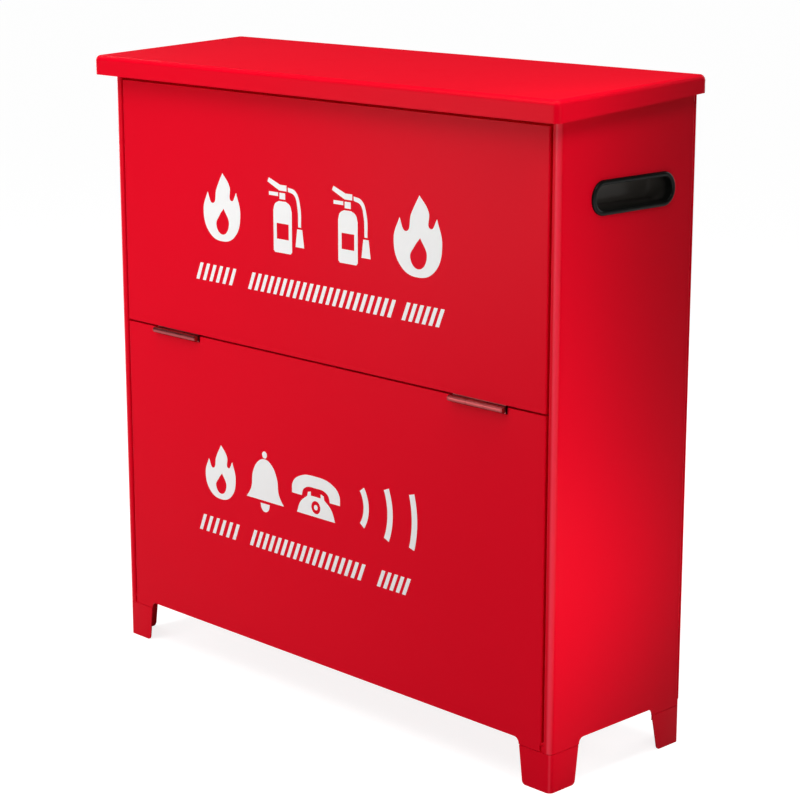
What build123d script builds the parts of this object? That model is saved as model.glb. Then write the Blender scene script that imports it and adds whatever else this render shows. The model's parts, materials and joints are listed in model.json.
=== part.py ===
from build123d import *
import os

os.makedirs("parts", exist_ok=True)

# A floor-standing steel cabinet for extinguishers: a folded sheet body on four corner feet,
# a fixed lower front, an upper front that folds down and a sloping lid that tips back.
# X runs to the right, the front faces -Y and Z is up. The origin is on the floor, below the
# middle of everything from the lid's front edge to the back of its hinges.

# Sheet and body
sheet = 1.2
body_width = 600.0
body_depth = 177.0
total_height = 620.0
body_bottom = 42.5
bend_radius = 2.4
corner_radius = 5.0
rebate_bend = 1.6

# Clearances
rest_gap = 0.3
side_gap = 2.0
seam_gap = 2.0
swing_clearance = 5.0

# Lid
lid_rise = 9.5
lid_side_overhang = 12.0
lid_front_overhang = 17.0
lid_front_flange = 19.0
lid_rear_flange = 16.0
lid_edge_radius = 5.0
lid_corner_radius = 6.0
lid_lift_gap = 1.0

# Front opening
seam_height = 341.5
front_flange = 9.5
rebate_depth = 12.0
landing_width = 16.5
panel_edge_radius = 1.5

# Folded edges
back_flange = 15.0
edge_return = 12.0
floor_return = 24.0
rail_height = 44.0

# Feet
ear_height = 6.0
crease_gap = 0.5
foot_wing = 38.0
foot_taper = 9.0
foot_fillet = 5.5
foot_corner = 3.5
foot_tab_height = 12.0

# Flush pull handle in each side
handle_width = 109.0
handle_height = 30.5
handle_setback = 6.0
handle_drop = 97.0
handle_rim = 2.6
handle_rim_width = 4.4
handle_rim_chamfer = 1.4
handle_corner = 15.0
handle_wall = 2.0
handle_depth = 26.0
handle_fit = 0.3

# Butt hinges
leaf_sheet = 1.2
leaf_bend = 1.5
hinge_length = 64.0
hinge_knuckles = 3
knuckle_gap = 0.4
knuckle_radius = 2.8
pin_radius = 1.55
pin_clearance = 0.05
pin_head = 0.8
door_leaf_height = 20.0
door_axis_offset = 2.6
door_axis_drop = 2.0
door_hinge_inset = 91.0
notch_side_gap = 2.5
notch_under_gap = 1.5
lid_leaf_height = 11.0
back_leaf_height = 22.0
lid_hinge_inset = 100.0

# Places worked out from the sizes above
half_width = body_width / 2
depth_overall = lid_front_overhang + body_depth + 2 * knuckle_radius
front_y = -depth_overall / 2 + lid_front_overhang
back_y = front_y + body_depth
mid_y = (front_y + back_y) / 2
shell_back_y = back_y - sheet
lid_half = half_width + lid_side_overhang
lid_front_y = front_y - lid_front_overhang
lid_slope = lid_rise / (back_y - lid_front_y)
lid_front_bottom = total_height - lid_rise - lid_front_flange
lid_rear_bottom = total_height - lid_rear_flange
back_top = lid_rear_bottom - lid_lift_gap
rebate_x = half_width - front_flange
landing_y = front_y + rebate_depth
landing_x = rebate_x - landing_width
ear_bottom = body_bottom - ear_height
foot_top = ear_bottom - crease_gap
panel_half = rebate_x - side_gap
lower_top = seam_height - seam_gap / 2
door_bottom = seam_height + seam_gap / 2
door_top = lid_front_bottom - swing_clearance
door_hinge_x = half_width - door_hinge_inset
lid_hinge_x = half_width - lid_hinge_inset
door_axis_y = front_y - door_axis_offset
door_axis_z = lower_top - door_axis_drop
lid_axis_y = back_y + knuckle_radius
lid_axis_z = lid_rear_bottom - lid_lift_gap / 2
bore_radius = pin_radius + pin_clearance
notch_half = hinge_length / 2 + pin_head + notch_side_gap
notch_bottom = door_axis_z - knuckle_radius - notch_under_gap
handle_plane = Plane(
    origin=(half_width, mid_y + handle_setback, total_height - handle_drop),
    x_dir=(0, 1, 0),
    z_dir=(1, 0, 0),
)


def rim_top(y):
    """Height of the body's sloping rim at y, just under the lid."""
    return total_height - sheet - rest_gap - lid_slope * (back_y - y)


def block(low, high, mode=Mode.ADD):
    """Add or cut a rectangular block between two corners."""
    size = Vector(high) - Vector(low)
    with Locations(Vector(low)):
        Box(size.X, size.Y, size.Z, align=(Align.MIN, Align.MIN, Align.MIN), mode=mode)


def concave_roots(edges, axis, ear_inner):
    """The short edges where the ears meet a panel's bottom edge."""
    return edges.filter_by(axis).filter_by(
        lambda e: abs(e.center().Z - body_bottom) < sheet / 4 and ear_inner(e.center())
    )


# Outline of the handle: a long slot with well rounded ends
with BuildSketch() as handle_outline:
    RectangleRounded(handle_width, handle_height, handle_corner)

# Right side: one sheet folded round the front edge into a rebate for the front panels,
# and round the back edge into a flange behind the back sheet
with BuildPart() as right_side:
    with BuildSketch(Plane.XY.offset(body_bottom)):
        with BuildLine():
            FilletPolyline(
                (half_width - back_flange, shell_back_y),
                (half_width, shell_back_y),
                (half_width, front_y),
                (rebate_x, front_y),
                (rebate_x, landing_y),
                (landing_x, landing_y),
                radius=(bend_radius, corner_radius, bend_radius, rebate_bend),
            )
            offset(amount=sheet, side=Side.RIGHT)
        make_face()
    extrude(amount=total_height - body_bottom)
    # the rim slopes with the lid, and steps down behind for the lid's back flange
    rim_step = shell_back_y - lid_edge_radius
    with BuildSketch(Plane.YZ):
        Polygon(
            (front_y - 1, rim_top(front_y - 1)),
            (rim_step, rim_top(rim_step)),
            (rim_step, back_top),
            (back_y, back_top),
            (back_y, total_height + 1),
            (front_y - 1, total_height + 1),
            align=None,
        )
    extrude(amount=half_width + 1, mode=Mode.SUBTRACT)
    rim_start = landing_y + 2 * sheet
    rim_end = back_y - lid_rear_flange
    with BuildSketch(Plane.YZ.offset(half_width - edge_return)):
        Polygon(
            (rim_start, rim_top(rim_start) - sheet),
            (rim_end, rim_top(rim_end) - sheet),
            (rim_end, rim_top(rim_end)),
            (rim_start, rim_top(rim_start)),
            align=None,
        )
    extrude(amount=edge_return)
    # ears that carry the feet, round the front corner and flat at the back
    with BuildSketch(Plane.XY.offset(ear_bottom)):
        with BuildLine():
            FilletPolyline(
                (half_width, front_y + foot_wing),
                (half_width, front_y),
                (rebate_x, front_y),
                radius=corner_radius,
            )
            offset(amount=sheet, side=Side.RIGHT)
        make_face()
    extrude(amount=ear_height)
    block(
        (half_width - sheet, back_y - foot_wing, ear_bottom),
        (half_width, shell_back_y - bend_radius, body_bottom),
    )
    ear_roots = concave_roots(
        right_side.edges(),
        Axis.X,
        lambda c: front_y + foot_wing - 1 < c.Y < back_y - foot_wing + 1,
    )
    fillet(ear_roots, radius=foot_fillet)
    # bottom edge folded in under the floor tray
    block(
        (half_width - edge_return, front_y + foot_wing + foot_fillet, body_bottom),
        (half_width, back_y - foot_wing - foot_fillet, body_bottom + sheet),
    )
    # opening for the handle
    with BuildSketch(handle_plane):
        add(handle_outline.sketch)
        offset(amount=handle_wall + handle_fit - handle_rim_width)
    extrude(amount=-2 * sheet, mode=Mode.SUBTRACT)
right_side.part.label = "right_side"
export_step(right_side.part, "parts/right_side.step")

with BuildPart() as left_side:
    mirror(right_side.part, about=Plane.YZ)
left_side.part.label = "left_side"
export_step(left_side.part, "parts/left_side.step")

# Back sheet, welded over the sides' back flanges and folded in at the top and bottom
with BuildPart() as back_panel:
    block((-half_width, shell_back_y, body_bottom), (half_width, back_y, back_top))
    fold_half = half_width - back_flange - rest_gap
    block((-fold_half, back_y - edge_return, back_top - sheet), (fold_half, back_y, back_top))
    block((-fold_half, back_y - floor_return, body_bottom), (fold_half, back_y, body_bottom + sheet))
back_panel.part.label = "back_panel"
export_step(back_panel.part, "parts/back_panel.step")

# Floor tray, resting on the folded bottom edges, with its own edges turned up
with BuildPart() as floor_pan:
    block(
        (-half_width + sheet, landing_y + sheet, body_bottom + sheet),
        (half_width - sheet, shell_back_y - sheet, body_bottom + sheet + edge_return),
    )
    fillet(floor_pan.edges().filter_by(Axis.Z), radius=bend_radius)
    tray_mouth = floor_pan.faces().sort_by(Axis.Z)[-1]
    offset(amount=-sheet, openings=tray_mouth)
floor_pan.part.label = "floor_pan"
export_step(floor_pan.part, "parts/floor_pan.step")

# Lower front: a shallow pan welded into the rebates, with ears for the feet
with BuildPart() as lower_front:
    block((-panel_half, front_y, body_bottom), (panel_half, landing_y, lower_top))
    fillet(lower_front.edges().filter_by(Axis.Z).group_by(Axis.Y)[0], radius=panel_edge_radius)
    pan_back = lower_front.faces().sort_by(Axis.Y)[-1]
    offset(amount=-sheet, openings=pan_back)
    fold_half = landing_x - rest_gap
    block((-fold_half, front_y, body_bottom), (fold_half, front_y + floor_return, body_bottom + sheet))
    for side in (-1, 1):
        ear_inner = side * (half_width - foot_wing)
        ear_outer = side * (panel_half - panel_edge_radius)
        block(
            (min(ear_inner, ear_outer), front_y, ear_bottom),
            (max(ear_inner, ear_outer), front_y + sheet, body_bottom),
        )
    ear_roots = concave_roots(
        lower_front.edges(),
        Axis.Y,
        lambda c: c.Y < front_y + sheet and abs(abs(c.X) - (half_width - foot_wing)) < 1,
    )
    fillet(ear_roots, radius=foot_fillet)
    # notches that the door hinges pass through
    for side in (-1, 1):
        notch_x = side * door_hinge_x
        block(
            (notch_x - notch_half, front_y - 1, notch_bottom),
            (notch_x + notch_half, landing_y + 1, lower_top + 1),
            mode=Mode.SUBTRACT,
        )
lower_front.part.label = "lower_front"
export_step(lower_front.part, "parts/lower_front.step")

# Upper front: the same shallow pan, hinged along its bottom edge
with BuildPart() as front_door:
    block((-panel_half, front_y, door_bottom), (panel_half, landing_y - rest_gap, door_top))
    fillet(front_door.edges().filter_by(Axis.Z).group_by(Axis.Y)[0], radius=panel_edge_radius)
    pan_back = front_door.faces().sort_by(Axis.Y)[-1]
    offset(amount=-sheet, openings=pan_back)
    for side in (-1, 1):
        notch_x = side * door_hinge_x
        block(
            (notch_x - notch_half, front_y + sheet, door_bottom),
            (notch_x + notch_half, landing_y, door_bottom + 2 * sheet),
            mode=Mode.SUBTRACT,
        )
front_door.part.label = "front_door"
export_step(front_door.part, "parts/front_door.step")

# Top rail behind the door's upper edge, folded back under the lid
with BuildPart() as front_top_rail:
    rail_top = rim_top(landing_y)
    with BuildSketch(Plane.YZ.offset(-landing_x)):
        with BuildLine():
            FilletPolyline(
                (landing_y, rail_top - rail_height),
                (landing_y, rail_top),
                (landing_y + edge_return + bend_radius, rail_top),
                radius=bend_radius,
            )
            offset(amount=sheet, side=Side.RIGHT)
        make_face()
    extrude(amount=2 * landing_x)
front_top_rail.part.label = "front_top_rail"
export_step(front_top_rail.part, "parts/front_top_rail.step")

# Corner foot: an angle in line with the body, tapered towards the floor, with a tab set one
# sheet further in that runs up behind the ears
with BuildPart() as foot_front_right:
    with BuildSketch():
        with BuildLine():
            FilletPolyline(
                (half_width - foot_wing, front_y),
                (half_width, front_y),
                (half_width, front_y + foot_wing),
                radius=corner_radius,
            )
            offset(amount=sheet, side=Side.LEFT)
        make_face()
    extrude(amount=foot_top)
    with BuildSketch(Plane.XY.offset(body_bottom - foot_tab_height)):
        with BuildLine():
            FilletPolyline(
                (half_width - foot_wing, front_y + sheet),
                (half_width - sheet, front_y + sheet),
                (half_width - sheet, front_y + foot_wing),
                radius=corner_radius - sheet,
            )
            offset(amount=sheet, side=Side.LEFT)
        make_face()
    extrude(amount=foot_tab_height)
    wing_taper = [(-1, 0), (foot_taper, 0), (0, foot_top), (-1, foot_top)]
    with BuildSketch(Plane.XZ.offset(-front_y + 1)):
        with Locations((half_width - foot_wing, 0)):
            Polygon(*wing_taper, align=None)
    extrude(amount=-2 * sheet - 2, mode=Mode.SUBTRACT)
    with BuildSketch(Plane.YZ.offset(half_width + 1)):
        with Locations((front_y + foot_wing, 0)):
            Polygon(*[(-across, up) for across, up in wing_taper], align=None)
    extrude(amount=-2 * sheet - 2, mode=Mode.SUBTRACT)
    toe_edges = foot_front_right.edges().filter_by(
        lambda e: e.length < 1.5 * sheet and e.center().Z < sheet / 4
    )
    fillet(toe_edges, radius=foot_corner)
foot_front_right.part.label = "foot_front_right"
export_step(foot_front_right.part, "parts/foot_front_right.step")

with BuildPart() as foot_front_left:
    mirror(foot_front_right.part, about=Plane.YZ)
foot_front_left.part.label = "foot_front_left"
export_step(foot_front_left.part, "parts/foot_front_left.step")

with BuildPart() as foot_rear_right:
    mirror(foot_front_right.part, about=Plane.XZ.offset(-mid_y))
foot_rear_right.part.label = "foot_rear_right"
export_step(foot_rear_right.part, "parts/foot_rear_right.step")

with BuildPart() as foot_rear_left:
    mirror(foot_rear_right.part, about=Plane.YZ)
foot_rear_left.part.label = "foot_rear_left"
export_step(foot_rear_left.part, "parts/foot_rear_left.step")

# Flush pull: a moulded cup with a raised rim, pressed through the side's opening
with BuildPart() as handle_right:
    with BuildSketch(handle_plane):
        add(handle_outline.sketch)
    extrude(amount=handle_rim)
    chamfer(handle_right.faces().sort_by(Axis.X)[-1].edges(), length=handle_rim_chamfer)
    with BuildSketch(handle_plane):
        add(handle_outline.sketch)
        offset(amount=handle_wall - handle_rim_width)
    extrude(amount=-handle_depth)
    with BuildSketch(handle_plane.offset(handle_rim)):
        add(handle_outline.sketch)
        offset(amount=-handle_rim_width)
    extrude(amount=-handle_rim - handle_depth + handle_wall, mode=Mode.SUBTRACT)
handle_right.part.label = "handle_right"
export_step(handle_right.part, "parts/handle_right.step")

with BuildPart() as handle_left:
    mirror(handle_right.part, about=Plane.YZ)
handle_left.part.label = "handle_left"
export_step(handle_left.part, "parts/handle_left.step")

# Lid: a sloping pan with its flanges turned down on all four sides; the flanges are deepest
# in front, and the back one is hinged in line with the back sheet
with BuildPart() as lid:
    with BuildSketch(Plane.YZ.offset(-lid_half)):
        Polygon(
            (lid_front_y, lid_front_bottom),
            (back_y, lid_rear_bottom),
            (back_y, total_height),
            (lid_front_y, total_height - lid_rise),
            align=None,
        )
    extrude(amount=2 * lid_half)
    fillet(lid.edges().filter_by(Axis.Z), radius=lid_corner_radius)
    fillet(lid.faces().sort_by(Axis.Z)[-1].edges(), radius=lid_edge_radius)
    lid_mouth = lid.faces().sort_by(Axis.Z)[0]
    offset(amount=-sheet, openings=lid_mouth)
lid.part.label = "lid"
export_step(lid.part, "parts/lid.step")


def knuckle_spans(x_center, first):
    """X ranges of every second knuckle, starting with knuckle number first."""
    pitch = (hinge_length + knuckle_gap) / hinge_knuckles
    start = x_center - hinge_length / 2
    spans = []
    for number in range(first, hinge_knuckles, 2):
        low = start + number * pitch
        spans.append((low, low + pitch - knuckle_gap))
    return spans


def round_bar(x_low, x_high, axis_y, axis_z, radius, mode=Mode.ADD):
    """A round bar along X, for knuckles, bores and pins."""
    with Locations(Plane(origin=(x_low, axis_y, axis_z), z_dir=(1, 0, 0))):
        Cylinder(radius, x_high - x_low, align=(Align.CENTER, Align.CENTER, Align.MIN), mode=mode)


def knuckles(x_center, axis_y, axis_z, first):
    """Cut a leaf clear of the other leaf's knuckles, roll its own and bore them for the pin."""
    reach = knuckle_radius + knuckle_gap
    for low, high in knuckle_spans(x_center, 1 - first):
        block(
            (low - knuckle_gap, axis_y - reach, axis_z - reach),
            (high + knuckle_gap, axis_y + reach, axis_z + reach),
            mode=Mode.SUBTRACT,
        )
    for low, high in knuckle_spans(x_center, first):
        round_bar(low, high, axis_y, axis_z, knuckle_radius)
    half = hinge_length / 2 + knuckle_gap
    round_bar(x_center - half, x_center + half, axis_y, axis_z, bore_radius, mode=Mode.SUBTRACT)


# Butt hinges: leaves of folded strip with interleaved knuckles on a headed pin
for side, side_name in ((-1, "left"), (1, "right")):
    # door hinges, whose leaves pass through the notch and lie behind the panels
    hinge_x = side * door_hinge_x
    leaf_back = front_y + sheet + leaf_sheet
    for leaf_name, up, first in (("door_leaf", 1, 1), ("sill_leaf", -1, 0)):
        strip_z = door_axis_z + up * (knuckle_radius - leaf_sheet)
        leaf_end = door_axis_z + up * (knuckle_radius + door_leaf_height)
        with BuildPart() as door_hinge_leaf:
            with BuildSketch(Plane.YZ.offset(hinge_x - hinge_length / 2)):
                with BuildLine():
                    FilletPolyline(
                        (door_axis_y, strip_z),
                        (leaf_back, strip_z),
                        (leaf_back, leaf_end),
                        radius=leaf_bend,
                    )
                    offset(amount=leaf_sheet, side=Side.LEFT if up > 0 else Side.RIGHT)
                make_face()
            extrude(amount=hinge_length)
            knuckles(hinge_x, door_axis_y, door_axis_z, first)
        door_hinge_leaf.part.label = f"{leaf_name}_{side_name}"
        export_step(door_hinge_leaf.part, f"parts/{leaf_name}_{side_name}.step")

    # lid hinges, whose leaves lie flat on the back sheet and the lid's back flange
    hinge_x = side * lid_hinge_x
    for leaf_name, first, low_z, high_z in (
        ("lid_leaf", 1, lid_axis_z, lid_axis_z + lid_leaf_height),
        ("back_leaf", 0, lid_axis_z - back_leaf_height, lid_axis_z),
    ):
        with BuildPart() as lid_hinge_leaf:
            block(
                (hinge_x - hinge_length / 2, back_y, low_z),
                (hinge_x + hinge_length / 2, back_y + leaf_sheet, high_z),
            )
            knuckles(hinge_x, lid_axis_y, lid_axis_z, first)
        lid_hinge_leaf.part.label = f"{leaf_name}_{side_name}"
        export_step(lid_hinge_leaf.part, f"parts/{leaf_name}_{side_name}.step")

    for pin_name, pin_x, pin_y, pin_z in (
        ("door_pin", side * door_hinge_x, door_axis_y, door_axis_z),
        ("lid_pin", side * lid_hinge_x, lid_axis_y, lid_axis_z),
    ):
        pin_half = hinge_length / 2 + knuckle_gap
        with BuildPart() as pin:
            round_bar(pin_x - pin_half, pin_x + pin_half, pin_y, pin_z, pin_radius)
            round_bar(pin_x + pin_half, pin_x + pin_half + pin_head, pin_y, pin_z, knuckle_radius)
            round_bar(pin_x - pin_half - pin_head, pin_x - pin_half, pin_y, pin_z, knuckle_radius)
        pin.part.label = f"{pin_name}_{side_name}"
        export_step(pin.part, f"parts/{pin_name}_{side_name}.step")
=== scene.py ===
import json
import math

import bmesh
import bpy
from mathutils import Matrix, Vector


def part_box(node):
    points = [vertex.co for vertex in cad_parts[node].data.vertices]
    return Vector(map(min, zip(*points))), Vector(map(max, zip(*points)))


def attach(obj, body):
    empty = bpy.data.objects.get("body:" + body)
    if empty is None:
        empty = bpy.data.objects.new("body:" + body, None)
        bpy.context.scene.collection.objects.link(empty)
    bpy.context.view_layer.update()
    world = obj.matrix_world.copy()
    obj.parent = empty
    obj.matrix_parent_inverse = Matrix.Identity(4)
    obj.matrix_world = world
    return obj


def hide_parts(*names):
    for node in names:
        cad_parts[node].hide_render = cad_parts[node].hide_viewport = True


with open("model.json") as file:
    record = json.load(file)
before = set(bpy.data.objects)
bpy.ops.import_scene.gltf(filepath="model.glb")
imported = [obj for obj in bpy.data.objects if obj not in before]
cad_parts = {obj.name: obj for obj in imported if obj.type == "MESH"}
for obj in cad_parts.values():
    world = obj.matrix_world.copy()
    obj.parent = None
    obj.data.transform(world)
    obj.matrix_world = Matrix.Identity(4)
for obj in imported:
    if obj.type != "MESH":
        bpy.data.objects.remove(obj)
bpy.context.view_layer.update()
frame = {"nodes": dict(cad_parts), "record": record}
mm = 0.001
print("frame loaded:", len(frame["nodes"]), "nodes")


# places read from the frame
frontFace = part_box("front_door")[0].y
sideLow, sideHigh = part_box("right_side")
backLow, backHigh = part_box("back_panel")
backFace = backHigh.y
middleY = (frontFace + backFace) / 2


# how fine the noises of the shader groups are
noiseShapes = {
    "grain": {"Detail": 1.0, "Roughness": 0.4},
    "drift": {"Detail": 2.0, "Roughness": 0.5},
    "scuff": {"Detail": 4.0, "Roughness": 0.7},
    "scuffStretch": (1.0, 1.0, 9.0),
}


# shader node groups
def shaderGroup(name, inputs, outputs):
    group = bpy.data.node_groups.new(name, "ShaderNodeTree")
    group.interface.new_socket(name="Position", in_out="INPUT", socket_type="NodeSocketVector")
    for label, value in inputs.items():
        socket = group.interface.new_socket(name=label, in_out="INPUT", socket_type="NodeSocketFloat")
        socket.default_value = value
    for label in outputs:
        group.interface.new_socket(name=label, in_out="OUTPUT", socket_type="NodeSocketFloat")
    entry = group.nodes.new("NodeGroupInput")
    leave = group.nodes.new("NodeGroupOutput")
    return group, entry, leave


def addNode(tree, kind, links=None, **settings):
    node = tree.nodes.new(kind)
    for key, value in settings.items():
        setattr(node, key, value)
    for socket, source in (links or {}).items():
        if isinstance(source, bpy.types.NodeSocket):
            tree.links.new(source, node.inputs[socket])
        else:
            node.inputs[socket].default_value = source
    return node


# orange-peel grain of sprayed and moulded surfaces, and a slow drift of tone over a whole panel
def makeCoatGrain():
    group, entry, leave = shaderGroup("coatGrain", {"Grain Scale": 500.0, "Drift Scale": 4.0}, ["Height", "Drift"])
    grain = addNode(group, "ShaderNodeTexNoise", {
        "Vector": entry.outputs["Position"], "Scale": entry.outputs["Grain Scale"], **noiseShapes["grain"]})
    drift = addNode(group, "ShaderNodeTexNoise", {
        "Vector": entry.outputs["Position"], "Scale": entry.outputs["Drift Scale"], **noiseShapes["drift"]})
    group.links.new(grain.outputs["Fac"], leave.inputs["Height"])
    group.links.new(drift.outputs["Fac"], leave.inputs["Drift"])
    return group


# faint hairline scuffs: stretched noise, cut to its highest streaks
def makeScuffs():
    group, entry, leave = shaderGroup("handlingScuffs", {"Scale": 30.0, "Share": 0.3}, ["Mask"])
    stretch = addNode(group, "ShaderNodeVectorMath", {
        0: entry.outputs["Position"], 1: noiseShapes["scuffStretch"]}, operation="MULTIPLY")
    streaks = addNode(group, "ShaderNodeTexNoise", {
        "Vector": stretch.outputs[0], "Scale": entry.outputs["Scale"], **noiseShapes["scuff"]})
    cut = addNode(group, "ShaderNodeMath", {0: 1.0, 1: entry.outputs["Share"]}, operation="SUBTRACT")
    mask = addNode(group, "ShaderNodeMapRange", {
        "Value": streaks.outputs["Fac"], "From Min": cut.outputs[0], "From Max": 1.0})
    group.links.new(mask.outputs["Result"], leave.inputs["Mask"])
    return group


# the rounded front post of each side: a mask, full on the bend and none on the flats, that gives the coat more gloss
# there and paints a paler red highlight into the base colour
def makeFoldGlossAndHighlight():
    group, entry, leave = shaderGroup("foldGlossAndHighlight", {
        "Flat X": 0.29, "Fold X": 0.295, "Flat Y": -0.077, "Fold Y": -0.08, "Gloss And Highlight": 0.5}, ["Mask"])
    axes = addNode(group, "ShaderNodeSeparateXYZ", {0: entry.outputs["Position"]})
    across = addNode(group, "ShaderNodeMath", {0: axes.outputs["X"]}, operation="ABSOLUTE")
    frontShare = addNode(group, "ShaderNodeMapRange", {
        "Value": across.outputs[0], "From Min": entry.outputs["Flat X"], "From Max": entry.outputs["Fold X"],
        "To Max": entry.outputs["Gloss And Highlight"]})
    sideShare = addNode(group, "ShaderNodeMapRange", {
        "Value": axes.outputs["Y"], "From Min": entry.outputs["Flat Y"], "From Max": entry.outputs["Fold Y"]})
    both = addNode(group, "ShaderNodeMath", {0: frontShare.outputs["Result"], 1: sideShare.outputs["Result"]},
                   operation="MULTIPLY")
    group.links.new(both.outputs[0], leave.inputs["Mask"])
    return group


# how far in from a side's outer face a point lies: nothing at the first depth, full at the second; it sets where
# painted light brightens the handle's cup
def makeCupDepth():
    group, entry, leave = shaderGroup("cupDepth", {"Near X": 0.30, "Deep X": 0.28}, ["Mask"])
    axes = addNode(group, "ShaderNodeSeparateXYZ", {0: entry.outputs["Position"]})
    across = addNode(group, "ShaderNodeMath", {0: axes.outputs["X"]}, operation="ABSOLUTE")
    share = addNode(group, "ShaderNodeMapRange", {
        "Value": across.outputs[0], "From Min": entry.outputs["Near X"], "From Max": entry.outputs["Deep X"]})
    group.links.new(share.outputs["Result"], leave.inputs["Mask"])
    return group


coatGrain = makeCoatGrain()
handlingScuffs = makeScuffs()
foldGlossAndHighlight = makeFoldGlossAndHighlight()
cupDepth = makeCupDepth()


# materials
def startMaterial(name):
    material = bpy.data.materials.new(name)
    material.use_nodes = True
    tree = material.node_tree
    tree.nodes.clear()
    out = tree.nodes.new("ShaderNodeOutputMaterial")
    shader = tree.nodes.new("ShaderNodeBsdfPrincipled")
    tree.links.new(shader.outputs["BSDF"], out.inputs["Surface"])
    place = tree.nodes.new("ShaderNodeTexCoord")
    return material, tree, shader, place.outputs["Object"]


# another base colour where a group's mask is full
def blendTone(tree, shader, tone, position, group, places, colour):
    share = addNode(tree, "ShaderNodeGroup", node_tree=group)
    tree.links.new(position, share.inputs["Position"])
    for label, value in places.items():
        share.inputs[label].default_value = value
    blend = addNode(tree, "ShaderNodeMix", data_type="RGBA")
    tree.links.new(share.outputs["Mask"], blend.inputs["Factor"])
    tree.links.new(tone.outputs["Result"], blend.inputs["A"])
    blend.inputs["B"].default_value = (*colour, 1)
    tree.links.new(blend.outputs["Result"], shader.inputs["Base Color"])
    return share.outputs["Mask"]


# a sprayed or moulded surface; the look may name a glossier fold with a painted highlight, or a cup with painted
# light that lifts its shade
def coatMaterial(name, look):
    material, tree, shader, position = startMaterial(name)
    coat = addNode(tree, "ShaderNodeGroup", node_tree=coatGrain)
    tree.links.new(position, coat.inputs["Position"])
    coat.inputs["Grain Scale"].default_value = look["grainScale"]
    coat.inputs["Drift Scale"].default_value = look["driftScale"]
    scuff = addNode(tree, "ShaderNodeGroup", node_tree=handlingScuffs)
    tree.links.new(position, scuff.inputs["Position"])
    scuff.inputs["Scale"].default_value = look["scuffScale"]
    scuff.inputs["Share"].default_value = look["scuffShare"]
    tone = addNode(tree, "ShaderNodeMix", data_type="RGBA")
    tree.links.new(coat.outputs["Drift"], tone.inputs["Factor"])
    tone.inputs["A"].default_value = (*look["deep"], 1)
    tone.inputs["B"].default_value = (*look["bright"], 1)
    tree.links.new(tone.outputs["Result"], shader.inputs["Base Color"])
    gloss = addNode(tree, "ShaderNodeMapRange", {
        "Value": scuff.outputs["Mask"], "To Min": look["roughness"], "To Max": look["scuffRoughness"]})
    tree.links.new(gloss.outputs["Result"], shader.inputs["Roughness"])
    bump = addNode(tree, "ShaderNodeBump", {
        "Strength": look["bumpStrength"], "Distance": look["bumpDepth"], "Height": coat.outputs["Height"]})
    tree.links.new(bump.outputs["Normal"], shader.inputs["Normal"])
    shader.inputs["Specular IOR Level"].default_value = look["specular"]
    if "coat" in look:
        shader.inputs["Coat Weight"].default_value = look["coat"]
        shader.inputs["Coat Roughness"].default_value = look["coatRoughness"]
    # on the fold the mask raises the coat's gloss and mixes in the paler red: a painted highlight
    if "foldGlossAndHighlight" in look:
        mask = blendTone(tree, shader, tone, position, foldGlossAndHighlight, look["foldGlossAndHighlight"], look["foldHighlightTone"])
        tree.links.new(mask, shader.inputs["Coat Weight"])
        shader.inputs["Coat Roughness"].default_value = look["foldRoughness"]
    # deeper in the cup a paler grey is mixed in: painted light that lifts the shade of the recess
    if "cupDepth" in look:
        blendTone(tree, shader, tone, position, cupDepth, look["cupDepth"], look["cupPaintedLight"])
    return material


redLook = {
    "deep": (0.765, 0.0003, 0.0135), "bright": (0.825, 0.0004, 0.0160),
    "roughness": 0.36, "scuffRoughness": 0.44, "specular": 0.04,
    "grainScale": 420.0, "driftScale": 3.5, "scuffScale": 22.0, "scuffShare": 0.42,
    "bumpStrength": 0.12, "bumpDepth": 0.00012,
}
# the fold tone is a painted highlight, a paler red on the bends
foldLook = {**redLook, "foldRoughness": 0.36, "foldHighlightTone": (1.0, 0.035, 0.075)}
redPaint = coatMaterial("redPowderCoat", redLook)
# the sides' front posts carry the painted highlight on their bend
foldedPaint = coatMaterial("redPowderCoatFolded", {
    **foldLook, "foldGlossAndHighlight": {
        "Flat X": sideHigh.x - 5.6 * mm, "Fold X": sideHigh.x - 3.6 * mm,
        "Flat Y": frontFace + 3.0 * mm, "Fold Y": frontFace + 0.6 * mm, "Gloss And Highlight": 0.62},
})
# the front feet's corners carry the same painted highlight, on a narrower bend
footPaint = coatMaterial("redPowderCoatFoot", {
    **foldLook, "foldGlossAndHighlight": {
        "Flat X": sideHigh.x - 3.4 * mm, "Fold X": sideHigh.x - 1.6 * mm,
        "Flat Y": frontFace + 2.2 * mm, "Fold Y": frontFace + 0.8 * mm, "Gloss And Highlight": 0.5},
})
blackLook = {
    "deep": (0.0045, 0.0048, 0.0042), "bright": (0.0075, 0.0080, 0.0070),
    "roughness": 0.30, "scuffRoughness": 0.40, "specular": 0.02, "coat": 0.15, "coatRoughness": 0.14,
    "grainScale": 900.0, "driftScale": 18.0, "scuffScale": 60.0, "scuffShare": 0.45,
    "bumpStrength": 0.2, "bumpDepth": 0.00008,
}
blackPlastic = coatMaterial("blackPlastic", blackLook)
# the cup's paler grey towards its floor is painted light, lifting the shade in the recess
cupPlastic = coatMaterial("blackPlasticCup", {
    **blackLook, "cupPaintedLight": (0.125, 0.112, 0.100),
    "cupDepth": {"Near X": sideHigh.x - 4 * mm, "Deep X": sideHigh.x - 22 * mm},
})
whitePrint = coatMaterial("whitePrint", {
    "deep": (0.975, 0.97, 0.96), "bright": (0.995, 0.99, 0.985),
    "roughness": 0.42, "scuffRoughness": 0.55, "specular": 0.25,
    "grainScale": 420.0, "driftScale": 12.0, "scuffScale": 40.0, "scuffShare": 0.4,
    "bumpStrength": 0.1, "bumpDepth": 0.0001,
})


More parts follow.
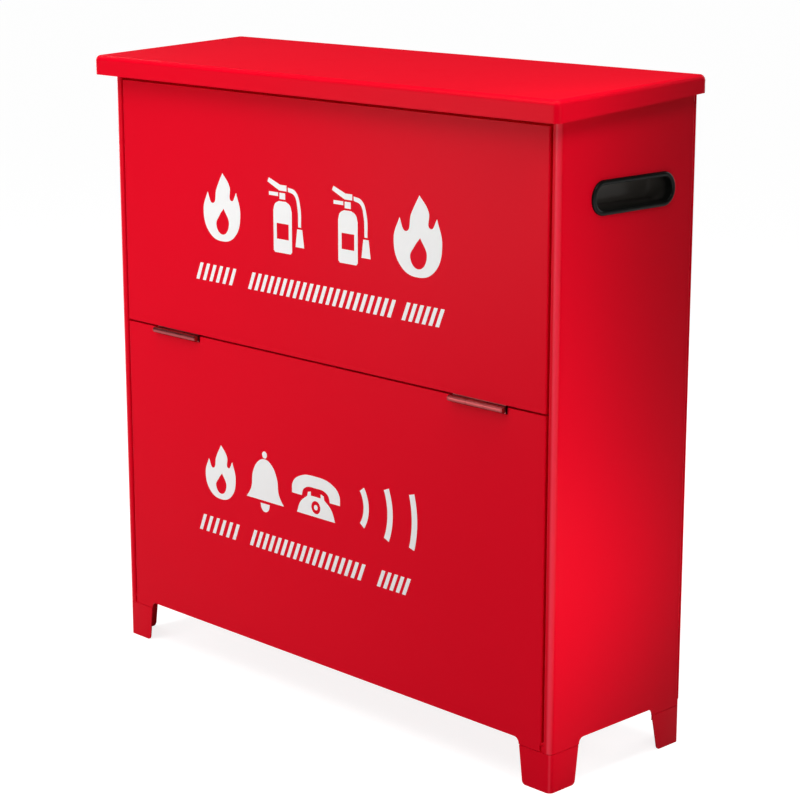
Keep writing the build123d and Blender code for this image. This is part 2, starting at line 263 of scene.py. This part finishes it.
# rolled steel strip with drawing lines along the barrel
def steelMaterial(name, look):
    material, tree, shader, position = startMaterial(name)
    stretch = addNode(tree, "ShaderNodeMapping")
    tree.links.new(position, stretch.inputs["Vector"])
    stretch.inputs["Scale"].default_value = look["lineStretch"]
    lines = addNode(tree, "ShaderNodeTexNoise", {
        "Vector": stretch.outputs[0], "Scale": look["lineScale"], "Detail": look["lineDetail"]})
    tone = addNode(tree, "ShaderNodeMix", data_type="RGBA")
    tree.links.new(lines.outputs["Fac"], tone.inputs["Factor"])
    tone.inputs["A"].default_value = (*look["dark"], 1)
    tone.inputs["B"].default_value = (*look["light"], 1)
    tree.links.new(tone.outputs["Result"], shader.inputs["Base Color"])
    rough = addNode(tree, "ShaderNodeMapRange", {
        "Value": lines.outputs["Fac"], "To Min": look["smooth"], "To Max": look["rough"]})
    tree.links.new(rough.outputs["Result"], shader.inputs["Roughness"])
    shader.inputs["Metallic"].default_value = 1.0
    return material


# the red tint of these steel tones is a painted reflection of the red panels around the hinges; dark and light follow
# the drawing lines
hingeSteel = steelMaterial("hingeSteel", {
    "dark": (0.27, 0.042, 0.046), "light": (0.38, 0.072, 0.076),
    "smooth": 0.28, "rough": 0.45, "lineStretch": (60.0, 900.0, 900.0), "lineScale": 1.0, "lineDetail": 3.0,
})

slotLooks = {"red_paint": redPaint, "black_plastic": blackPlastic, "hinge_steel": hingeSteel}
nodeLooks = {"right_side": foldedPaint, "left_side": foldedPaint}
for part in frame["record"]["subparts"]:
    node = frame["nodes"][part["node"]]
    for slot in node.material_slots:
        slot.material = nodeLooks.get(part["node"], slotLooks[part["material_slot"]])


# mesh helpers
def placeMesh(name, mesh, material, body):
    piece = bpy.data.objects.new(name, mesh)
    bpy.context.scene.collection.objects.link(piece)
    mesh.materials.clear()
    mesh.materials.append(material)
    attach(piece, body)
    return piece


def shadeSmooth(piece, sharpAngle):
    piece.data.shade_smooth()
    piece.data.set_sharp_from_angle(angle=math.radians(sharpAngle))


# a quarter round in steps: how far it has left one flat, and how far it still is from the other
def quarterRound(radius, steps):
    turns = [math.pi / 2 * step / steps for step in range(steps + 1)]
    return [(radius * (1 - math.cos(turn)), radius * (1 - math.sin(turn))) for turn in turns]


# a closed skin over a row of rings that have the same number of points
def loftRings(rings):
    mesh = bmesh.new()
    loops = [[mesh.verts.new(point) for point in ring] for ring in rings]
    for lower, upper in zip(loops, loops[1:]):
        for i in range(len(lower)):
            j = (i + 1) % len(lower)
            mesh.faces.new((lower[i], lower[j], upper[j], upper[i]))
    mesh.faces.new(loops[-1])
    mesh.faces.new(list(reversed(loops[0])))
    bmesh.ops.recalc_face_normals(mesh, faces=mesh.faces)
    data = bpy.data.meshes.new("lofted")
    mesh.to_mesh(data)
    mesh.free()
    return data


# flush pull handles: a moulded cup with a rounded rim
handleSizes = {
    "cornerRound": 15 * mm, "rimHeight": 2.6 * mm, "rimWidth": 4.4 * mm, "outerRound": 2.0 * mm,
    "innerRound": 1.8 * mm, "wall": 2 * mm, "depth": 26 * mm, "floorRound": 4.5 * mm, "draft": 1.2 * mm,
    "leastRound": 2 * mm, "arcPoints": 9, "roundPoints": 6, "sharpAngle": 40,
}


# the handle's rounded slot, drawn in by an inset, as (along, up) points
def handleOutline(halfLength, halfHeight, inset, sizes):
    radius = max(sizes["leastRound"], sizes["cornerRound"] - inset)
    flatY, flatZ = halfLength - inset - radius, halfHeight - inset - radius
    points = []
    for quarter, (alongSide, upSide) in enumerate(((1, 1), (-1, 1), (-1, -1), (1, -1))):
        for step in range(sizes["arcPoints"]):
            turn = math.pi / 2 * (quarter + step / (sizes["arcPoints"] - 1))
            points.append((alongSide * flatY + radius * math.cos(turn), upSide * flatZ + radius * math.sin(turn)))
    return points


# the handle's section from the cup's back over the rim to the cup's floor, as (inset, rise) points
def handleProfile(sizes):
    rim, width = sizes["rimHeight"], sizes["rimWidth"]
    cupInset = width - sizes["wall"]
    steps = sizes["roundPoints"]
    profile = [(cupInset + sizes["floorRound"], -sizes["depth"]), (cupInset, -sizes["depth"] + sizes["floorRound"]),
               (cupInset, 0.0), (0.0, 0.0)]
    profile += [(left, rim - short) for left, short in quarterRound(sizes["outerRound"], steps)]
    profile += [(width - short, rim - left) for left, short in quarterRound(sizes["innerRound"], steps)]
    floor = -sizes["depth"] + sizes["wall"]
    wallInset = width + sizes["draft"]
    profile += [(wallInset + left, floor + short) for left, short in quarterRound(sizes["floorRound"], steps)]
    return profile


def makeHandle(name, node, side):
    low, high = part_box(node)
    halfLength, halfHeight = (high.y - low.y) / 2, (high.z - low.z) / 2
    centreY, centreZ = (high.y + low.y) / 2, (high.z + low.z) / 2
    rings = []
    for inset, rise in handleProfile(handleSizes):
        outline = handleOutline(halfLength, halfHeight, inset, handleSizes)
        rings.append([(side * (sideHigh.x + rise), centreY + y, centreZ + z) for y, z in outline])
    handle = placeMesh(name, loftRings(rings), cupPlastic, "cabinet")
    shadeSmooth(handle, handleSizes["sharpAngle"])
    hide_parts(node)


makeHandle("handleRight", "handle_right", 1)
makeHandle("handleLeft", "handle_left", -1)
print("handles made")


# corner feet: an angle under each corner, drawn in towards the floor, with a tab that runs up behind the body
footSizes = {
    "sheet": 1.2 * mm, "frontBend": 5 * mm, "rearBend": 1.4 * mm, "tabBend": 3.8 * mm, "crease": 0.5 * mm,
    "tabHeight": 12 * mm, "tabWing": 36 * mm, "seat": 0.02 * mm, "earEnd": 3.5 * mm, "toeRound": 3.5 * mm,
    "frontWings": (37.5 * mm, 37.3 * mm), "frontTapers": (4.5 * mm, 4.5 * mm),
    "rearWings": (30 * mm, 37.3 * mm), "rearTapers": (7 * mm, 8 * mm), "rootRound": 5.5 * mm,
    "bendSteps": 6, "toeSteps": 5, "sharpAngle": 30,
}


# one level of a folded angle: along its outer face from one wing to the other, and back along its inner face
def angleRing(corner, inward, wings, bend, z):
    sheet, steps = footSizes["sheet"], footSizes["bendSteps"]
    outer, inner = [(wings[0], 0.0)], [(wings[0], sheet)]
    for step in range(steps + 1):
        turn = math.pi / 2 * step / steps
        for points, radius in ((outer, bend), (inner, bend - sheet)):
            points.append((bend - radius * math.sin(turn), bend - radius * math.cos(turn)))
    outer.append((0.0, wings[1]))
    inner.append((sheet, wings[1]))
    return [(corner[0] + inward[0] * a, corner[1] + inward[1] * b, z) for a, b in outer + inner[::-1]]


# a foot of three shells: the leg with its rounded toe, the tab, and at the rear the leg's root over the back panel
def makeFoot(name, node, inward):
    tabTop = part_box(node)[1].z
    sizes = footSizes
    atFront = inward[1] > 0
    corner = (-inward[0] * sideHigh.x, frontFace if atFront else backFace)
    wings = sizes["frontWings"] if atFront else sizes["rearWings"]
    tapers = sizes["frontTapers"] if atFront else sizes["rearTapers"]
    bend = sizes["frontBend"] if atFront else sizes["rearBend"]
    footTop = sideLow.z - sizes["crease"]
    rings = []
    for z, toe in quarterRound(sizes["toeRound"], sizes["toeSteps"]) + [(footTop, 0.0)]:
        drawnIn = [toe + taper * (1 - z / footTop) for taper in tapers]
        rings.append(angleRing(corner, inward, [wing - cut for wing, cut in zip(wings, drawnIn)], bend, z))
    shells = [loftRings(rings)]
    inset = sizes["sheet"] + sizes["seat"]
    tabCorner = (corner[0] + inward[0] * inset, corner[1] + inward[1] * inset)
    tabWings = [min(sizes["tabWing"], wing) - inset for wing in wings]
    shells.append(loftRings([
        angleRing(tabCorner, inward, tabWings, sizes["tabBend"], z) for z in (tabTop - sizes["tabHeight"], tabTop)]))
    if not atFront:
        earTop = tabTop - sizes["seat"]
        earLevels = [(sideLow.z, 0.0)]
        for spread, drop in quarterRound(sizes["rootRound"], sizes["toeSteps"]):
            earLevels.append((earTop - drop, spread))
        shells.append(loftRings([
            angleRing(corner, inward, (wings[0] + spread, sizes["earEnd"]), bend, z) for z, spread in earLevels]))
    joined = bmesh.new()
    for shell in shells:
        joined.from_mesh(shell)
        bpy.data.meshes.remove(shell)
    data = bpy.data.meshes.new(name)
    joined.to_mesh(data)
    joined.free()
    foot = placeMesh(name, data, footPaint, "cabinet")
    shadeSmooth(foot, sizes["sharpAngle"])
    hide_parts(node)


for side, inwardX in (("Right", -1), ("Left", 1)):
    makeFoot("footFront" + side, "foot_front_" + side.lower(), (inwardX, 1))
    makeFoot("footRear" + side, "foot_rear_" + side.lower(), (inwardX, -1))
print("feet folded")


# turns what is drawn flat so that it faces the front, or the back with its upper side down
def facingFront(x, z, surface):
    return Matrix.Translation((x, surface, z)) @ Matrix.Rotation(math.pi / 2, 4, "X")


def facingBack(z, surface):
    return Matrix.Translation((0, surface, z)) @ Matrix.Rotation(-math.pi / 2, 4, "X")


# printed signs: flat white shapes on the two front panels, drawn in millimetres
signSizes = {"film": 0.12 * mm, "lift": 0.02 * mm, "curvePoints": 10, "roundPoints": 40}


# a band along an arc that bulges to the right; the spread is its angle above and below, in degrees
def arcBand(centre, radius, width, spread):
    points = []
    steps = signSizes["roundPoints"] // 2
    for edge, order in ((radius + width / 2, range(steps + 1)), (radius - width / 2, range(steps, -1, -1))):
        for step in order:
            turn = math.radians(spread) * (2 * step / steps - 1)
            points.append((centre[0] + edge * math.cos(turn), centre[1] + edge * math.sin(turn), "corner"))
    return points


def disc(centre, radius):
    steps = signSizes["roundPoints"]
    return [(centre[0] + radius * math.cos(2 * math.pi * i / steps),
             centre[1] + radius * math.sin(2 * math.pi * i / steps), "corner") for i in range(steps)]


# points that an outline bends through, and points where it has a corner
def soft(*points):
    return [(x, z, "soft") for x, z in points]


def sharp(*points):
    return [(x, z, "corner") for x, z in points]


# one sign as a thin mesh; an outline inside another one is a hole in it
def flatSign(name, outlines, centre, scale, body):
    curve = bpy.data.curves.new(name + "Curve", "CURVE")
    curve.dimensions = "2D"
    curve.fill_mode = "BOTH"
    curve.extrude = signSizes["film"] / 2
    curve.resolution_u = signSizes["curvePoints"]
    for outline in outlines:
        spline = curve.splines.new("BEZIER")
        spline.bezier_points.add(len(outline) - 1)
        spline.use_cyclic_u = True
        for knot, (x, z, kind) in zip(spline.bezier_points, outline):
            knot.co = (x * scale * mm, z * scale * mm, 0)
            handle = "AUTO" if kind == "soft" else "VECTOR"
            knot.handle_left_type = handle
            knot.handle_right_type = handle
    drawn = bpy.data.objects.new(name + "Drawn", curve)
    bpy.context.scene.collection.objects.link(drawn)
    bpy.context.view_layer.update()
    shown = drawn.evaluated_get(bpy.context.evaluated_depsgraph_get())
    mesh = bpy.data.meshes.new_from_object(shown)
    bpy.data.objects.remove(drawn)
    surface = frontFace - signSizes["lift"] - signSizes["film"] / 2
    mesh.transform(facingFront(centre[0] * mm, centre[1] * mm, surface))
    mesh.name = name
    placeMesh(name, mesh, whitePrint, body)


flame = [
    sharp((2, 35)) + soft((13, 22), (15, 8)) + sharp((23, 17))
    + soft((29, -4), (21, -27), (0, -35), (-21, -27), (-29, -5)) + sharp((-22, 14)) + soft((-14, 3), (-8, 18)),
    sharp((3, -1)) + soft((11, -17), (1, -28), (-9, -19), (-4, -9)),
]
extinguisher = [
    sharp((-13, -33), (-11, -35), (11, -35), (13, -33), (13, 5)) + soft((10.5, 11)) + sharp((5, 14), (-5, 14))
    + soft((-10.5, 11)) + sharp((-13, 5)),
    sharp((-8.5, -22), (-8.5, -7), (8.5, -7), (8.5, -22)),
    sharp((-4, 16), (-4, 22), (4, 22), (4, 16)),
    sharp((-4, 24), (-21, 31), (-19, 35), (-3, 29.5), (6, 29.5), (6, 24)),
    sharp((-6, 22), (-19, 22), (-19, 18.5), (-6, 18.5)),
    sharp((8, 28)) + soft((19, 25), (25, 12)) + sharp((26, -8), (22, -8)) + soft((21, 11), (17, 21)) + sharp((8, 24)),
    sharp((20.5, -10), (27.5, -10), (30, -27), (18, -27)),
]
bell = [
    sharp((-28, -19)) + soft((-21, -9), (-18, 8), (-10, 20), (0, 24), (10, 20), (18, 8), (21, -9)) + sharp((28, -19)),
    disc((0, 28.5), 3.6),
    sharp((-7, -22)) + soft((-5, -28), (0, -30.5), (5, -28)) + sharp((7, -22)),
]
telephone = [
    soft((-33, 8), (-24, 16), (0, 20), (24, 16), (33, 8)) + sharp((34, -2), (20, -2))
    + soft((17, 5), (0, 8.5), (-17, 5)) + sharp((-20, -2), (-34, -2)),
    sharp((-11, 3), (-7, 4), (-7, 0), (7, 0), (7, 4), (11, 3), (12, -1)) + soft((22, -9))
    + sharp((27, -20), (-27, -20)) + soft((-22, -9)) + sharp((-12, -1)),
    disc((0, -10.5), 6.4),
    disc((0, -10.5), 2.6),
]
soundArcs = [arcBand((-56, 0), reach, 7, spread) for reach, spread in ((30, 36), (62, 23), (94, 16))]

# each sign's name, outlines, centre, scale and body
signPlaces = [
    ("signFlameLeft", flame, (-136, 474), 0.95, "front_door"),
    ("signExtinguisherLeft", extinguisher, (-47, 475), 1.0, "front_door"),
    ("signExtinguisherRight", extinguisher, (43, 476), 1.0, "front_door"),
    ("signFlameRight", flame, (133.5, 477), 1.05, "front_door"),
    ("signFlameLow", flame, (-145.5, 207), 0.80, "cabinet"),
    ("signBell", bell, (-78, 209.5), 0.98, "cabinet"),
    ("signTelephone", telephone, (-4, 210), 1.0, "cabinet"),
    ("signSoundArcs", soundArcs, (92, 213), 1.0, "cabinet"),
]
for name, outlines, centre, scale, body in signPlaces:
    flatSign(name, outlines, centre, scale, body)
print("signs drawn:", len(signPlaces))


# geometry node helpers
def nodeTree(name, inputs):
    tree = bpy.data.node_groups.new(name, "GeometryNodeTree")
    for label, (kind, value) in inputs.items():
        socket = tree.interface.new_socket(name=label, in_out="INPUT", socket_type=kind)
        if value is not None:
            socket.default_value = value
    tree.interface.new_socket(name="Geometry", in_out="OUTPUT", socket_type="NodeSocketGeometry")
    entry = tree.nodes.new("NodeGroupInput")
    leave = tree.nodes.new("NodeGroupOutput")
    return tree, entry, leave


def finishTree(tree, geometry, material, leave):
    real = addNode(tree, "GeometryNodeRealizeInstances")
    tree.links.new(geometry, real.inputs[0])
    painted = addNode(tree, "GeometryNodeSetMaterial")
    tree.links.new(real.outputs[0], painted.inputs["Geometry"])
    tree.links.new(material, painted.inputs["Material"])
    tree.links.new(painted.outputs[0], leave.inputs[0])


# what a node tree grows from each run of values, joined in one mesh and put in its place
def growMesh(name, runs, tree, place):
    joined = bmesh.new()
    for values in runs:
        holder = bpy.data.objects.new(name + "Holder", bpy.data.meshes.new(name + "Holder"))
        bpy.context.scene.collection.objects.link(holder)
        grow = holder.modifiers.new("grow", "NODES")
        grow.node_group = tree
        for item in tree.interface.items_tree:
            if item.item_type == "SOCKET" and item.in_out == "INPUT" and item.name in values:
                grow[item.identifier] = values[item.name]
        bpy.context.view_layer.update()
        shown = holder.evaluated_get(bpy.context.evaluated_depsgraph_get())
        mesh = bpy.data.meshes.new_from_object(shown)
        joined.from_mesh(mesh)
        holder.modifiers.remove(grow)
        bpy.data.objects.remove(holder)
        bpy.data.meshes.remove(mesh)
    data = bpy.data.meshes.new(name)
    joined.transform(place)
    joined.to_mesh(data)
    joined.free()
    return data


# a strip of slanted dashes, filling a length from its start
def makeHatchTree():
    tree, entry, leave = nodeTree("hatchStrip", {
        "Start": ("NodeSocketVector", None), "Count": ("NodeSocketInt", 4), "Pitch": ("NodeSocketFloat", 0.01),
        "Dash": ("NodeSocketFloat", 0.005), "Height": ("NodeSocketFloat", 0.02), "Slant": ("NodeSocketFloat", 0.5),
        "Film": ("NodeSocketFloat", 0.0001), "Material": ("NodeSocketMaterial", None)})
    size = addNode(tree, "ShaderNodeCombineXYZ", {
        0: entry.outputs["Dash"], 1: entry.outputs["Height"], 2: entry.outputs["Film"]})
    dash = addNode(tree, "GeometryNodeMeshCube", {"Size": size.outputs[0]})
    place = addNode(tree, "GeometryNodeInputPosition")
    axes = addNode(tree, "ShaderNodeSeparateXYZ", {0: place.outputs[0]})
    lean = addNode(tree, "ShaderNodeMath", {0: axes.outputs["Y"], 1: entry.outputs["Slant"]}, operation="MULTIPLY")
    push = addNode(tree, "ShaderNodeCombineXYZ", {0: lean.outputs[0]})
    slanted = addNode(tree, "GeometryNodeSetPosition", {
        "Geometry": dash.outputs["Mesh"], "Offset": push.outputs[0]})
    step = addNode(tree, "ShaderNodeCombineXYZ", {0: entry.outputs["Pitch"]})
    line = addNode(tree, "GeometryNodeMeshLine", {
        "Count": entry.outputs["Count"], "Start Location": entry.outputs["Start"], "Offset": step.outputs[0]})
    row = addNode(tree, "GeometryNodeInstanceOnPoints", {
        "Points": line.outputs["Mesh"], "Instance": slanted.outputs["Geometry"]})
    finishTree(tree, row.outputs[0], entry.outputs["Material"], leave)
    return tree


# a row of low domed heads, for rivets and welds
headShape = {"Segments": 18, "Rings": 8}


def makeHeadTree():
    tree, entry, leave = nodeTree("headRow", {
        "Start": ("NodeSocketVector", None), "Step": ("NodeSocketVector", None), "Count": ("NodeSocketInt", 3),
        "Radius": ("NodeSocketFloat", 0.002), "Height": ("NodeSocketFloat", 0.001),
        "Material": ("NodeSocketMaterial", None)})
    ball = addNode(tree, "GeometryNodeMeshUVSphere", {**headShape, "Radius": entry.outputs["Radius"]})
    flat = addNode(tree, "ShaderNodeMath", {0: entry.outputs["Height"], 1: entry.outputs["Radius"]},
                   operation="DIVIDE")
    squeeze = addNode(tree, "ShaderNodeCombineXYZ", {0: 1.0, 1: 1.0, 2: flat.outputs[0]})
    head = addNode(tree, "GeometryNodeTransform", {"Geometry": ball.outputs["Mesh"], "Scale": squeeze.outputs[0]})
    smooth = addNode(tree, "GeometryNodeSetShadeSmooth", {"Geometry": head.outputs["Geometry"]})
    line = addNode(tree, "GeometryNodeMeshLine", {
        "Count": entry.outputs["Count"], "Start Location": entry.outputs["Start"], "Offset": entry.outputs["Step"]})
    row = addNode(tree, "GeometryNodeInstanceOnPoints", {
        "Points": line.outputs["Mesh"], "Instance": smooth.outputs["Geometry"]})
    finishTree(tree, row.outputs[0], entry.outputs["Material"], leave)
    return tree


hatchTree = makeHatchTree()
headTree = makeHeadTree()


# hatched strips under the signs, in millimetres
hatchSizes = {"pitch": 9.4, "dash": 4.6, "slant": 0.42}


# dashes at about the pitch that is asked for, so that the first and last one end where the strip does
def hatchRun(xLow, xHigh, zLow, zHigh):
    height = zHigh - zLow
    lean = height * hatchSizes["slant"]
    room = xHigh - xLow - hatchSizes["dash"] - lean
    count = max(1, round(room / hatchSizes["pitch"]) + 1)
    pitch = room / max(1, count - 1)
    start = xLow + (hatchSizes["dash"] + lean) / 2
    return {"Start": (start * mm, (zLow + zHigh) / 2 * mm, 0.0), "Count": count, "Pitch": pitch * mm,
            "Dash": hatchSizes["dash"] * mm, "Height": height * mm, "Slant": hatchSizes["slant"],
            "Film": signSizes["film"], "Material": whitePrint}


def makeHatch(name, strips, zLow, zHigh, body):
    runs = [hatchRun(low, high, zLow, zHigh) for low, high in strips]
    place = facingFront(0, 0, frontFace - signSizes["lift"] - signSizes["film"] / 2)
    placeMesh(name, growMesh(name, runs, hatchTree, place), whitePrint, body)


# each row's name, strips from left to right, lower and upper edge, and body
hatchPlaces = [
    ("signHatchUpper", [(-177, -115.5), (-98.7, 106), (113, 167.5)], 399, 416, "front_door"),
    ("signHatchLow", [(-180, -117), (-102, 65), (80, 125.5)], 141, 158, "cabinet"),
]
for name, strips, zLow, zHigh, body in hatchPlaces:
    makeHatch(name, strips, zLow, zHigh, body)
print("hatched strips grown:", len(hatchPlaces))


# rivets through the hinge leaves, each row at a set distance from an edge of its leaf
rivetSizes = {"radius": 2.3 * mm, "height": 0.9 * mm, "inset": 10 * mm, "count": 3, "edge": 8 * mm,
              "lidEdge": 3.6 * mm, "leaf": 1.2 * mm}


def leafRivets(name, node, zCentre, face, body):
    low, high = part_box(node)
    span = high.x - low.x - 2 * rivetSizes["inset"]
    run = {"Start": (low.x + rivetSizes["inset"], 0.0, 0.0), "Step": (span / (rivetSizes["count"] - 1), 0.0, 0.0),
           "Count": rivetSizes["count"], "Radius": rivetSizes["radius"], "Height": rivetSizes["height"],
           "Material": hingeSteel}
    piece = placeMesh(name, growMesh(name, [run], headTree, facingBack(zCentre, face)), hingeSteel, body)


edge = rivetSizes["edge"]
for side in ("left", "right"):
    title = side.capitalize()
    outerFace = backFace + rivetSizes["leaf"]
    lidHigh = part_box("lid_leaf_" + side)[1]
    leafRivets("lidLeafRivets" + title, "lid_leaf_" + side, lidHigh.z - rivetSizes["lidEdge"], outerFace, "lid")
    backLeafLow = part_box("back_leaf_" + side)[0]
    leafRivets("backLeafRivets" + title, "back_leaf_" + side, backLeafLow.z + edge, outerFace, "cabinet")
    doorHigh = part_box("door_leaf_" + side)[1]
    leafRivets("doorLeafRivets" + title, "door_leaf_" + side, doorHigh.z - edge, doorHigh.y, "front_door")
    sillLow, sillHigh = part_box("sill_leaf_" + side)
    leafRivets("sillLeafRivets" + title, "sill_leaf_" + side, sillLow.z + edge, sillHigh.y, "cabinet")

# marks of the spot welds down the back
weldSizes = {"radius": 3.2 * mm, "height": 0.22 * mm, "edge": 8 * mm, "endGap": 30 * mm, "count": 9}


# heights are negative, because what faces the back is drawn upside down
def weldRow(x):
    low, high = backLow.z + weldSizes["endGap"], backHigh.z - weldSizes["endGap"]
    step = (high - low) / (weldSizes["count"] - 1)
    return {"Start": (x, -low, 0.0), "Step": (0.0, -step, 0.0), "Count": weldSizes["count"],
            "Radius": weldSizes["radius"], "Height": weldSizes["height"], "Material": redPaint}


weldRuns = [weldRow(side * (backHigh.x - weldSizes["edge"])) for side in (-1, 1)]
weldMesh = growMesh("backWeldMarks", weldRuns, headTree, facingBack(0, backFace))
backWelds = placeMesh("backWeldMarks", weldMesh, redPaint, "cabinet")

# tack welds that close the lower ends of the two gaps beside the lower front
tackSizes = {"radius": 1.6 * mm, "inset": 10.5 * mm, "rise": 1.4 * mm, "depth": 2.0 * mm}
tackRuns = [{"Start": (side * (sideHigh.x - tackSizes["inset"]), -backLow.z - tackSizes["rise"], 0.0),
             "Step": (0.0, 0.0, 0.0), "Count": 1, "Radius": tackSizes["radius"], "Height": tackSizes["radius"],
             "Material": redPaint} for side in (-1, 1)]
tackMesh = growMesh("gapTackWelds", tackRuns, headTree, facingBack(0, frontFace + tackSizes["depth"]))
tackWelds = placeMesh("gapTackWelds", tackMesh, redPaint, "cabinet")
print("rivets and weld marks grown")


# paper floor: white where the camera or a reflection sees it, and grey to the light that falls on it
floorSizes = {"half": 30.0, "white": 0.36, "lift": 0.84}


def makeFloor():
    material, tree, shader, _ = startMaterial("paperFloor")
    shader.inputs["Base Color"].default_value = (floorSizes["white"],) * 3 + (1,)
    shader.inputs["Roughness"].default_value = 1.0
    shader.inputs["Specular IOR Level"].default_value = 0.0
    path = addNode(tree, "ShaderNodeLightPath")
    seen = addNode(tree, "ShaderNodeMath", {0: path.outputs["Is Camera Ray"], 1: path.outputs["Is Glossy Ray"]},
                   operation="MAXIMUM")
    clear = addNode(tree, "ShaderNodeMath", {0: seen.outputs[0], 1: path.outputs["Is Transmission Ray"]},
                    operation="MAXIMUM")
    glow = addNode(tree, "ShaderNodeMath", {0: clear.outputs[0], 1: floorSizes["lift"]}, operation="MULTIPLY")
    shader.inputs["Emission Color"].default_value = (1, 1, 1, 1)
    tree.links.new(glow.outputs[0], shader.inputs["Emission Strength"])
    half = floorSizes["half"]
    mesh = bpy.data.meshes.new("floor")
    mesh.from_pydata([(-half, -half, 0), (half, -half, 0), (half, half, 0), (-half, half, 0)], [], [(0, 1, 2, 3)])
    mesh.materials.append(material)
    floor = bpy.data.objects.new("floor", mesh)
    bpy.context.scene.collection.objects.link(floor)


makeFloor()


# light: a soft sun from above, and area lamps for the front, the top, both sides and the back
lightSetup = {
    "world": (0.06, 0.06, 0.06),
    "sunStrength": 1.1, "sunAngle": 30, "sunFrom": (0, 0, 1),
    "lamps": [
        {"name": "keyLeft", "place": (-0.65, -1.00, 0.35), "target": (-0.10, -0.08, 0.35),
         "width": 0.4, "height": 0.5, "energy": 1.71},
        {"name": "keyMiddle", "place": (-0.20, -1.10, 0.40), "target": (-0.10, -0.08, 0.35),
         "width": 0.4, "height": 0.5, "energy": 1.39},
        {"name": "keyNear", "place": (-0.40, -0.80, 0.50), "target": (-0.10, -0.08, 0.38),
         "width": 0.4, "height": 0.4, "energy": 1.05},
        {"name": "topFront", "place": (-0.20, -0.70, 1.20), "target": (0.0, -0.05, 0.40),
         "width": 0.7, "height": 0.5, "energy": 4.02},
        {"name": "topPanel", "place": (0.0, -0.30, 1.70), "target": (0.0, 0.0, 0.60),
         "width": 1.2, "height": 1.2, "energy": 7.47},
        {"name": "sideStrip", "place": (0.42, -0.10, 0.32), "target": (0.30, -0.10, 0.32),
         "width": 0.05, "height": 0.60, "energy": 0.20},
        {"name": "sideLow", "place": (0.50, -0.09, 0.24), "target": (0.30, -0.083, 0.24),
         "width": 0.08, "height": 0.40, "energy": 0.16},
        {"name": "sideHigh", "place": (0.44, -0.12, 0.76), "target": (0.30, -0.05, 0.50),
         "width": 0.1, "height": 0.1, "energy": 0.29},
        {"name": "sideBase", "place": (0.45, 0.00, 0.18), "target": (0.30, 0.00, 0.18),
         "width": 0.10, "height": 0.12, "energy": 0.085},
        {"name": "backPanel", "place": (0.20, 1.80, 0.90), "target": (0.0, 0.0, 0.30),
         "width": 1.0, "height": 1.0, "energy": 14.0},
        {"name": "leftPanel", "place": (-1.80, 0.30, 0.80), "target": (-0.3, 0.0, 0.30),
         "width": 0.8, "height": 1.0, "energy": 10.0},
    ],
}


def aim(light, place, target):
    light.location = place
    light.rotation_mode = "QUATERNION"
    light.rotation_quaternion = (Vector(target) - Vector(place)).to_track_quat("-Z", "Y")


def makeLights():
    world = bpy.data.worlds.new("studio")
    bpy.context.scene.world = world
    world.use_nodes = True
    world.node_tree.nodes["Background"].inputs["Color"].default_value = (*lightSetup["world"], 1)
    sunData = bpy.data.lights.new("sun", "SUN")
    sunData.energy = lightSetup["sunStrength"]
    sunData.angle = math.radians(lightSetup["sunAngle"])
    sun = bpy.data.objects.new("sun", sunData)
    bpy.context.scene.collection.objects.link(sun)
    aim(sun, lightSetup["sunFrom"], (0, 0, 0))
    for setup in lightSetup["lamps"]:
        data = bpy.data.lights.new(setup["name"], "AREA")
        data.shape = "RECTANGLE"
        data.size = setup["width"]
        data.size_y = setup["height"]
        data.energy = setup["energy"]
        lamp = bpy.data.objects.new(setup["name"], data)
        lamp.visible_camera = False
        bpy.context.scene.collection.objects.link(lamp)
        aim(lamp, setup["place"], setup["target"])


makeLights()


# camera at the photograph's angle
cameraSetup = {"azimuth": 45.791, "elevation": 13.433, "distance": 2.1597, "lens": 100.88, "sensor": 36,
               "target": (0.02007, middleY, 0.29446)}


def makeCamera():
    data = bpy.data.cameras.new("camera")
    data.sensor_width = cameraSetup["sensor"]
    data.lens = cameraSetup["lens"]
    camera = bpy.data.objects.new("camera", data)
    bpy.context.scene.collection.objects.link(camera)
    turn, tilt = math.radians(cameraSetup["azimuth"]), math.radians(cameraSetup["elevation"])
    back = Vector((math.sin(turn) * math.cos(tilt), -math.cos(turn) * math.cos(tilt), math.sin(tilt)))
    target = Vector(cameraSetup["target"])
    aim(camera, target + back * cameraSetup["distance"], target)
    bpy.context.scene.camera = camera


makeCamera()
bpy.context.scene.view_settings.view_transform = "Standard"
print("floor, lights and camera placed")
